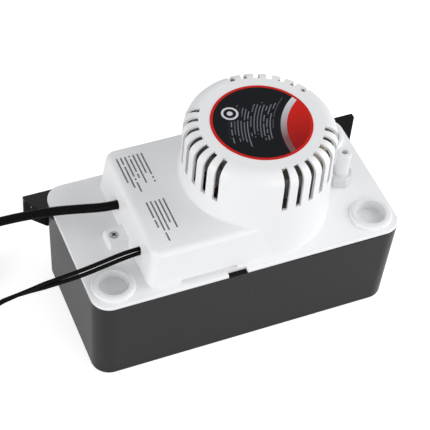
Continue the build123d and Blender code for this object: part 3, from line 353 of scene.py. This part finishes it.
# round label: black field, red side behind a pale curved band, fine dashed arcs and a ring
label = {
    "centre": (0.027, 0.0005), "radius": 0.0427,
    # from here on in label radii
    "rim": 0.945, "sweep": (1.62, -0.75), "edge": 1.30, "band": 0.12,
    "arcPitch": 0.062, "arcWidth": 0.34, "arcs": (1.56, 2.42), "arcReach": 0.8,
    "arcLow": -0.62, "lowLoose": 0.5, "arcHigh": 0.3, "highLoose": 0.3,
    "arcInk": 0.62, "arcFade": 0.3,
    "dashes": {"pitch": 0.026, "full": 0.72, "cell": 0.052, "gaps": 0.12},
    "ringAt": (-0.5, 0.4), "ringClear": 0.2295, "ring": (0.1258, 0.17), "dot": 0.0578,
    "redFade": (-0.75, 0.1), "bandFade": (-0.55, 0.35),
    "black": (13, 14, 19), "arcColour": (176, 180, 192), "silver": (214, 214, 220),
    "red": (205, 30, 20), "deepRed": (150, 16, 12), "bandDark": (120, 84, 84),
}


def roundLabelFilm():
    material, tree, shader = newMaterial("roundLabelFilm")
    x, y, z = splitPlace(tree)
    x = calc(tree, "DIVIDE", calc(tree, "SUBTRACT", x, label["centre"][0]), label["radius"])
    y = calc(tree, "DIVIDE", calc(tree, "SUBTRACT", y, label["centre"][1]), label["radius"])
    out = distance(tree, x, y, (0, 0))
    reach = distance(tree, x, y, label["sweep"])
    ringGap = distance(tree, x, y, label["ringAt"])

    spread = calc(tree, "DIVIDE", reach, label["arcPitch"])
    arcNumber = calc(tree, "FLOOR", spread)
    chance = rowChance(tree, arcNumber)
    lowEnd = calc(tree, "ADD", times(tree, chance, label["lowLoose"]), label["arcLow"])
    highEnd = calc(tree, "ADD", times(tree, chance, label["highLoose"]), label["arcHigh"])
    arcs = every(
        tree,
        under(tree, calc(tree, "FRACT", spread), label["arcWidth"]),
        between(tree, reach, *label["arcs"]),
        under(tree, out, label["arcReach"]),
        over(tree, y, lowEnd),
        under(tree, y, highEnd),
        over(tree, ringGap, label["ringClear"]),
        marks(tree, y, arcNumber, label["dashes"]),
        calc(tree, "SUBTRACT", label["arcInk"], times(tree, chance, label["arcFade"])),
    )
    ring = between(tree, ringGap, *label["ring"])
    dot = under(tree, ringGap, label["dot"])
    colour = pick(tree, arcs, paint(*label["black"]), paint(*label["arcColour"]))
    colour = pick(tree, calc(tree, "MAXIMUM", dot, ring), colour, paint(*label["silver"]))

    side = pick(tree, ramp(tree, y, *label["redFade"]), paint(*label["deepRed"]), paint(*label["red"]))
    shine = pick(tree, ramp(tree, y, *label["bandFade"]), paint(*label["bandDark"]), paint(*label["silver"]))
    bandEnd = label["edge"] + label["band"]
    colour = pick(tree, under(tree, reach, label["edge"]), colour, side)
    colour = pick(tree, between(tree, reach, label["edge"], bandEnd), colour, shine)
    colour = pick(tree, over(tree, out, label["rim"]), colour, paint(*label["red"]))
    tree.links.new(colour, shader.inputs["Base Color"])
    shader.inputs["Roughness"].default_value = 0.3
    shader.inputs["Specular IOR Level"].default_value = 0.12
    return material


# info label: matt film with two blocks of ruled lines
notes = {
    "pitch": 0.0037, "width": 0.38,
    "dashes": {"pitch": 0.0011, "full": 0.86, "cell": 0.0022, "gaps": 0.04},
    "blocks": [
        {"left": -0.0745, "rows": 5, "low": -0.049, "high": -0.004, "loose": 0.02, "seed": 3},
        {"left": -0.0812, "rows": 7, "low": 0.006, "high": 0.05, "loose": 0.022, "seed": 10},
    ],
    "film": (244, 244, 244), "shade": (240, 240, 241), "ink": (16, 16, 18),
}


def infoLabelFilm():
    material, tree, shader = newMaterial("infoLabelFilm")
    x, y, z = splitPlace(tree)
    colour = patchy(tree, notes["film"], notes["shade"])
    for block in notes["blocks"]:
        row = calc(tree, "DIVIDE", calc(tree, "SUBTRACT", x, block["left"]), notes["pitch"])
        number = calc(tree, "FLOOR", row)
        chance = rowChance(tree, calc(tree, "ADD", number, block["seed"]))
        end = calc(tree, "ADD", times(tree, chance, block["loose"]), block["low"])
        inked = every(
            tree,
            marks(tree, y, number, notes["dashes"]),
            under(tree, calc(tree, "FRACT", row), notes["width"]),
            between(tree, row, 0, block["rows"]),
            over(tree, y, end),
            under(tree, y, block["high"]),
        )
        colour = pick(tree, inked, colour, paint(*notes["ink"]))
    tree.links.new(colour, shader.inputs["Base Color"])
    shader.inputs["Roughness"].default_value = 0.45
    return material


materials.update({
    "housing": housingPlastic(), "tank": tankPlastic(),
    "screwSteel": screwSteel(), "lamination": laminationSteel(),
    "roundLabel": roundLabelFilm(), "infoLabel": infoLabelFilm(),
})

finishes = {
    "tank": ["tank"],
    "lid": ["lid"],
    "housing": ["motor_housing"],
    "plug": ["inlet_plug_left", "inlet_plug_right"],
    "roundLabel": ["round_label"],
    "infoLabel": ["info_label"],
    "plated": ["lower_bracket", "upper_bracket"],
    "zinc": ["housing_screw", "motor_screws", "volute_screws",
             "switch_bracket", "bracket_screws", "switch_pins"],
    "bright": ["shaft", "check_ball", "lever_pin", "rotor_core", "rod_clip"],
    "lamination": ["stator_core"],
    "copper": ["shading_rings", "switch_terminals"],
    "bronze": ["bearing_bushes", "plug_blades"],
    "tape": ["coil_winding"],
    "cream": ["coil_bobbin", "pump_column", "volute_body", "volute_cover", "intake_screen", "impeller",
              "float_rod", "rod_collars", "lever"],
    "fan": ["cooling_fan"],
    "switch": ["main_switch", "safety_switch", "main_plunger", "safety_plunger"],
    "milky": ["outlet_tube", "riser_pipe"],
    "clear": ["outlet_nut"],
    "foam": ["float_body"],
    "rubber": ["slinger", "power_cord_grip", "switch_lead_grip"],
    "mouldedPlug": ["power_plug"],
    "jacket": ["power_cord", "power_cord_coil", "power_cord_tail", "switch_lead", "switch_lead_coil"],
}
for finish, names in finishes.items():
    for name in names:
        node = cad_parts[name]
        node.data.materials.clear()
        node.data.materials.append(materials[finish])
print("materials made")


# cords

def smoothCurve(name, points, resolution):
    curve = bpy.data.curves.new(name, "CURVE")
    curve.dimensions = "3D"
    curve.resolution_u = resolution
    spline = curve.splines.new("NURBS")
    spline.points.add(len(points) - 1)
    for point, value in zip(spline.points, points):
        point.co = (*value, 1)
    spline.order_u = 3
    spline.use_endpoint_u = True
    return curve


def addObject(name, data):
    made = bpy.data.objects.new(name, data)
    scene.collection.objects.link(made)
    return made


def shownMesh(source):
    bpy.context.view_layer.update()
    shown = source.evaluated_get(bpy.context.evaluated_depsgraph_get())
    return bpy.data.meshes.new_from_object(shown)


def coilPoints(coil):
    # each turn lies in its own slot, (radius, height), and moves to the next within a share of the turn
    points = []
    for number in range(round(coil["turns"] * coil["steps"]) + 1):
        share = number / coil["steps"]
        turn = min(int(share), len(coil["slots"]) - 1)
        radius, height = coil["slots"][turn]
        if turn < len(coil["slots"]) - 1:
            begin, end = coil["moves"][turn]
            moved = min(max((share - turn - begin) / (end - begin), 0), 1)
            moved = (1 - math.cos(math.pi * moved)) / 2
            nextRadius, nextHeight = coil["slots"][turn + 1]
            radius += moved * (nextRadius - radius)
            height += moved * (nextHeight - height)
        angle = math.radians(coil["start"]) + coil["hand"] * share * 2 * math.pi
        points.append((
            coil["centre"][0] + radius * math.cos(angle),
            coil["centre"][1] + radius * math.sin(angle),
            height,
        ))
    return points


inward, down, outward = (0.82, 0.98), (0.72, 0.88), (0.62, 0.78)
coilMoves = [inward, inward, down, outward, outward]
power = {
    "diameter": 0.008, "length": 1.8, "exit": (-0.0915, 0.0194, 0.1115),
    "route": [
        (-0.0856, 0.0194, 0.1115), (-0.099, 0.0194, 0.1115), (-0.121, 0.0243, 0.1122),
        (-0.146, 0.031, 0.111), (-0.186, 0.0393, 0.1052), (-0.221, 0.0485, 0.091),
        (-0.251, 0.06, 0.069), (-0.274, 0.0725, 0.044), (-0.291, 0.0825, 0.027),
        (-0.306, 0.0885, 0.017),
    ],
    "coil": {
        "centre": (-0.29, 0.048), "start": 130, "hand": 1, "turns": 5.528, "steps": 24,
        "slots": [
            (0.05, 0.012), (0.042, 0.012), (0.034, 0.012), (0.034, 0.004), (0.042, 0.004), (0.05, 0.004),
        ],
        "moves": coilMoves,
    },
    "leaves": -40,  # degrees round the coil
    "tail": [(0.012, 0.0048), (0.024, 0.0088), (0.034, 0.011), (0.044, 0.011)],  # (run, height)
}
leaving = math.radians(power["leaves"])
coilX, coilY = power["coil"]["centre"]
coilRadius = power["coil"]["slots"][-1][0]
tailPoints = [
    (
        coilX + coilRadius * math.cos(leaving) - run * math.sin(leaving),
        coilY + coilRadius * math.sin(leaving) + run * math.cos(leaving),
        height,
    )
    for run, height in power["tail"]
]
curve = smoothCurve("powerCordLine", power["route"] + coilPoints(power["coil"]) + tailPoints, 4)
curve.bevel_depth = power["diameter"] / 2
curve.bevel_resolution = 4
curve.use_fill_caps = True
curve.materials.append(materials["jacket"])
powerCord = addObject("powerCordShown", curve)
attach(powerCord, "base")
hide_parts("power_cord", "power_cord_coil", "power_cord_tail")

lead = {
    "width": 0.0072, "length": 1.8, "exit": (-0.0915, -0.034, 0.1115), "core": 0.00175, "sides": 12,
    "route": [
        (-0.0856, -0.034, 0.1115), (-0.099, -0.034, 0.1115), (-0.121, -0.0382, 0.1125),
        (-0.145, -0.0419, 0.1125), (-0.182, -0.0445, 0.1128), (-0.2165, -0.0465, 0.1108),
        (-0.2475, -0.053, 0.0965), (-0.272, -0.066, 0.0705), (-0.289, -0.0805, 0.043),
        (-0.3, -0.0905, 0.022), (-0.309, -0.0945, 0.013),
    ],
    "coil": {
        "centre": (-0.29, -0.061), "start": -135, "hand": -1, "turns": 5.6, "steps": 24,
        "slots": [
            (0.0436, 0.0108), (0.04, 0.0108), (0.0364, 0.0108),
            (0.0364, 0.0036), (0.04, 0.0036), (0.0436, 0.0036),
        ],
        "moves": coilMoves,
    },
    # (distance along, turn of the flat side from level in degrees, gap between the cores)
    "twist": [
        (0, 37, 0), (0.018, 36, 0.0005), (0.064, 36, 0.0005), (0.078, 44, 0),
        (0.09, 66, -0.0001), (0.11, 126, -0.0001), (0.13, 138, -0.0001), (0.165, 142, -0.0001),
        (0.26, 92, -0.0001), (3, 90, -0.0001),
    ],
    "tips": {"inside": 0.002, "length": 0.009, "radius": 0.0008, "sides": 8},
}
curve = smoothCurve("switchLeadLine", lead["route"] + coilPoints(lead["coil"]), 3)
guide = addObject("switchLeadGuide", curve)
path = [vertex.co.copy() for vertex in shownMesh(guide).vertices]
bpy.data.objects.remove(guide)


def alongPath(path, stops):
    # the place, the flat's two directions, the cores' gap and the way ahead at each point
    run = 0
    rows = []
    for number, point in enumerate(path):
        if number:
            run += (point - path[number - 1]).length
        before = [stop for stop in stops if stop[0] <= run][-1]
        after = [stop for stop in stops if stop[0] > run][0]
        share = (run - before[0]) / (after[0] - before[0])
        share = share * share * (3 - 2 * share)
        angle = math.radians(before[1] + share * (after[1] - before[1]))
        gap = before[2] + share * (after[2] - before[2])
        ahead = path[min(number + 1, len(path) - 1)] - path[max(number - 1, 0)]
        ahead.normalize()
        side = ahead.cross(Vector((0, 0, 1))).normalized()
        rise = side.cross(ahead)
        wide = math.cos(angle) * side + math.sin(angle) * rise
        thin = ahead.cross(wide)
        rows.append((point, wide, thin, gap, ahead))
    return rows


def addTube(points, faces, rings, radius, sides):
    first = len(points)
    for middle, wide, thin in rings:
        for number in range(sides):
            angle = 2 * math.pi * number / sides
            points.append(middle + radius * (math.cos(angle) * wide + math.sin(angle) * thin))
    for ring in range(len(rings) - 1):
        for number in range(sides):
            here = first + ring * sides + number
            beside = first + ring * sides + (number + 1) % sides
            faces.append((here, beside, beside + sides, here + sides))
    last = first + (len(rings) - 1) * sides
    faces.append(tuple(range(first + sides - 1, first - 1, -1)))
    faces.append(tuple(range(last, last + sides)))


def leadPiece(name, points, faces, finish, smooth):
    mesh = bpy.data.meshes.new(name)
    mesh.from_pydata(points, [], faces)
    mesh.update()
    if smooth:
        mesh.polygons.foreach_set("use_smooth", [len(face) == 4 for face in faces])
    mesh.materials.append(materials[finish])
    return addObject(name, mesh)


rows = alongPath(path, lead["twist"])
points, faces = [], []
for side in (-1, 1):
    rings = [
        (point + side * (lead["core"] + gap / 2) * wide, wide, thin)
        for point, wide, thin, gap, ahead in rows
    ]
    addTube(points, faces, rings, lead["core"], lead["sides"])
switchLead = leadPiece("switchLeadShown", points, faces, "jacket", True)

tips = lead["tips"]
point, wide, thin, gap, ahead = rows[-1]
points, faces = [], []
for side in (-1, 1):
    rings = [
        (point + side * lead["core"] * wide + run * ahead, wide, thin)
        for run in (-tips["inside"], tips["length"])
    ]
    addTube(points, faces, rings, tips["radius"], tips["sides"])
leadTips = leadPiece("leadTips", points, faces, "copper", False)
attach(leadTips, "base")
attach(switchLead, "base")
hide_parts("switch_lead", "switch_lead_coil")
print("cords made")


# cross-recessed screws

screwShape = {
    "headSides": 40, "headTop": 0.8, "shankSides": 20,
    "recessTurn": 0.6, "recessHeight": 0.85,  # radians, and a share of the head
    "shankMiddle": -0.499,  # a share of the shank, which reaches just into the head
}
screwInputs = ("Head Radius", "Head Height", "Shank Radius", "Shank Length", "Recess Length", "Recess Width")


def linkAll(tree, pairs):
    for source, target in pairs:
        tree.links.new(source, target)


def screwTree():
    tree = bpy.data.node_groups.new("crossScrews", "GeometryNodeTree")
    tree.interface.new_socket("Places", in_out="INPUT", socket_type="NodeSocketGeometry")
    for name in screwInputs:
        tree.interface.new_socket(name, in_out="INPUT", socket_type="NodeSocketFloat")
    tree.interface.new_socket("Finish", in_out="INPUT", socket_type="NodeSocketMaterial")
    tree.interface.new_socket("Screws", in_out="OUTPUT", socket_type="NodeSocketGeometry")
    add = tree.nodes.new
    given = add("NodeGroupInput").outputs
    result = add("NodeGroupOutput").inputs

    def shifted(geometry, height, turn=0):
        vector = add("ShaderNodeCombineXYZ")
        tree.links.new(height, vector.inputs["Z"])
        node = add("GeometryNodeTransform")
        node.inputs["Rotation"].default_value = (0, 0, turn)
        linkAll(tree, [(geometry, node.inputs["Geometry"]), (vector.outputs[0], node.inputs["Translation"])])
        return node.outputs[0]

    head = add("GeometryNodeMeshCone")
    head.inputs["Vertices"].default_value = screwShape["headSides"]
    linkAll(tree, [
        (times(tree, given["Head Radius"], screwShape["headTop"]), head.inputs["Radius Top"]),
        (given["Head Radius"], head.inputs["Radius Bottom"]),
        (given["Head Height"], head.inputs["Depth"]),
    ])
    shank = add("GeometryNodeMeshCylinder")
    shank.inputs["Vertices"].default_value = screwShape["shankSides"]
    linkAll(tree, [
        (given["Shank Radius"], shank.inputs["Radius"]),
        (given["Shank Length"], shank.inputs["Depth"]),
    ])
    cut = add("GeometryNodeMeshBoolean")
    cut.operation = "DIFFERENCE"
    tree.links.new(head.outputs["Mesh"], cut.inputs[0])
    for turn in (screwShape["recessTurn"], screwShape["recessTurn"] + math.pi / 2):
        size = add("ShaderNodeCombineXYZ")
        linkAll(tree, [
            (given["Recess Length"], size.inputs["X"]),
            (given["Recess Width"], size.inputs["Y"]),
            (given["Head Height"], size.inputs["Z"]),
        ])
        bar = add("GeometryNodeMeshCube")
        tree.links.new(size.outputs[0], bar.inputs["Size"])
        barHeight = times(tree, given["Head Height"], screwShape["recessHeight"])
        tree.links.new(shifted(bar.outputs["Mesh"], barHeight, turn), cut.inputs[1])
    join = add("GeometryNodeJoinGeometry")
    tree.links.new(cut.outputs["Mesh"], join.inputs[0])
    low = times(tree, given["Shank Length"], screwShape["shankMiddle"])
    tree.links.new(shifted(shank.outputs["Mesh"], low), join.inputs[0])
    repeat = add("GeometryNodeInstanceOnPoints")
    real = add("GeometryNodeRealizeInstances")
    finish = add("GeometryNodeSetMaterial")
    linkAll(tree, [
        (given["Places"], repeat.inputs["Points"]),
        (join.outputs[0], repeat.inputs["Instance"]),
        (repeat.outputs[0], real.inputs[0]),
        (real.outputs[0], finish.inputs["Geometry"]),
        (given["Finish"], finish.inputs["Material"]),
        (finish.outputs[0], result["Screws"]),
    ])
    return tree


def makeScrews(name, tree, screws):
    mesh = bpy.data.meshes.new(name + "Places")
    mesh.from_pydata(screws["places"], [], [])
    source = addObject(name + "Places", mesh)
    modifier = source.modifiers.new("screws", "NODES")
    modifier.node_group = tree
    for socket in tree.interface.items_tree:
        if socket.in_out == "INPUT" and socket.name in screws["sizes"]:
            modifier[socket.identifier] = screws["sizes"][socket.name]
        if socket.name == "Finish":
            modifier[socket.identifier] = materials[screws["finish"]]
    made = addObject(name, shownMesh(source))
    bpy.data.objects.remove(source)
    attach(made, "base")
    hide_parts(screws["replaces"])


screwGroup = screwTree()
housingScrew = {
    "places": [(*screwHead["centre"], 0.1011)],
    "replaces": "housing_screw", "finish": "screwSteel",
    "sizes": {
        "Head Radius": 0.0034, "Head Height": 0.002, "Shank Radius": 0.00135, "Shank Length": 0.011,
        "Recess Length": 0.0048, "Recess Width": 0.0013,
    },
}
bracketScrews = {
    "places": [(-0.012, -0.0187, 0.0959), (-0.012, 0.0197, 0.0959)],
    "replaces": "bracket_screws", "finish": "zinc",
    "sizes": {
        "Head Radius": 0.0028, "Head Height": 0.002, "Shank Radius": 0.00135, "Shank Length": 0.007,
        "Recess Length": 0.0034, "Recess Width": 0.0009,
    },
}
makeScrews("housingScrewShown", screwGroup, housingScrew)
makeScrews("bracketScrewsShown", screwGroup, bracketScrews)
print("screws made")


# floor and light

floor = {"half": 6, "height": -0.0003, "grey": 0.8, "rough": 0.9}
# what the floor adds for the camera and for reflections, and how strong the sky is for each
glows = {"camera": 0.62, "mirror": 0.2, "sky": 0.53, "skySeen": 1, "skyMirror": 0.75}
skyTint = (0.96, 0.975, 1, 1)


def rayMasks(tree):
    ray = tree.nodes.new("ShaderNodeLightPath").outputs
    mirror = calc(tree, "MAXIMUM", ray["Is Glossy Ray"], ray["Is Transmission Ray"])
    return ray["Is Camera Ray"], mirror


def whiteFloor():
    material, tree, shader = newMaterial("whiteFloor")
    shader.inputs["Base Color"].default_value = (floor["grey"], floor["grey"], floor["grey"], 1)
    shader.inputs["Roughness"].default_value = floor["rough"]
    shader.inputs["Specular IOR Level"].default_value = 0
    direct, mirror = rayMasks(tree)
    glow = tree.nodes.new("ShaderNodeEmission")
    strength = calc(tree, "ADD", times(tree, direct, glows["camera"]), times(tree, mirror, glows["mirror"]))
    both = tree.nodes.new("ShaderNodeAddShader")
    linkAll(tree, [
        (strength, glow.inputs["Strength"]),
        (shader.outputs[0], both.inputs[0]),
        (glow.outputs[0], both.inputs[1]),
        (both.outputs[0], tree.nodes["Material Output"].inputs["Surface"]),
    ])
    return material


half, height = floor["half"], floor["height"]
corners = [(x * half, y * half, height) for x, y in ((-1, -1), (1, -1), (1, 1), (-1, 1))]
mesh = bpy.data.meshes.new("floor")
mesh.from_pydata(corners, [], [(0, 1, 2, 3)])
mesh.materials.append(whiteFloor())
addObject("floor", mesh)

world = bpy.data.worlds.new("world")
world.use_nodes = True
tree = world.node_tree
sky = tree.nodes["Background"]
direct, mirror = rayMasks(tree)
sheen = times(tree, mirror, glows["skyMirror"] - glows["sky"])
strength = calc(tree, "ADD", glows["sky"], sheen)
strength = calc(tree, "MAXIMUM", strength, times(tree, direct, glows["skySeen"]))
linkAll(tree, [
    (strength, sky.inputs["Strength"]),
    (pick(tree, direct, skyTint, (1, 1, 1, 1)), sky.inputs["Color"]),
])
scene.world = world

lampTarget = Vector((0, 0, 0.08))
lamps = {
    "frontLamp": {"at": (0.3, -1.7, 0.55), "size": 1.2, "power": 7.0},
    "leftLamp": {"at": (-1.6, -0.3, 0.5), "size": 1.0, "power": 10.4},
    "rightLamp": {"at": (1.2, -0.4, 0.9), "size": 1.0, "power": 9.8},
}
for name, lamp in lamps.items():
    light = bpy.data.lights.new(name, "AREA")
    light.energy = lamp["power"]
    light.size = lamp["size"]
    made = addObject(name, light)
    made.location = lamp["at"]
    made.rotation_mode = "QUATERNION"
    made.rotation_quaternion = (lampTarget - made.location).to_track_quat("-Z", "Y")
scene.view_settings.view_transform = "Standard"
print("floor and light made")
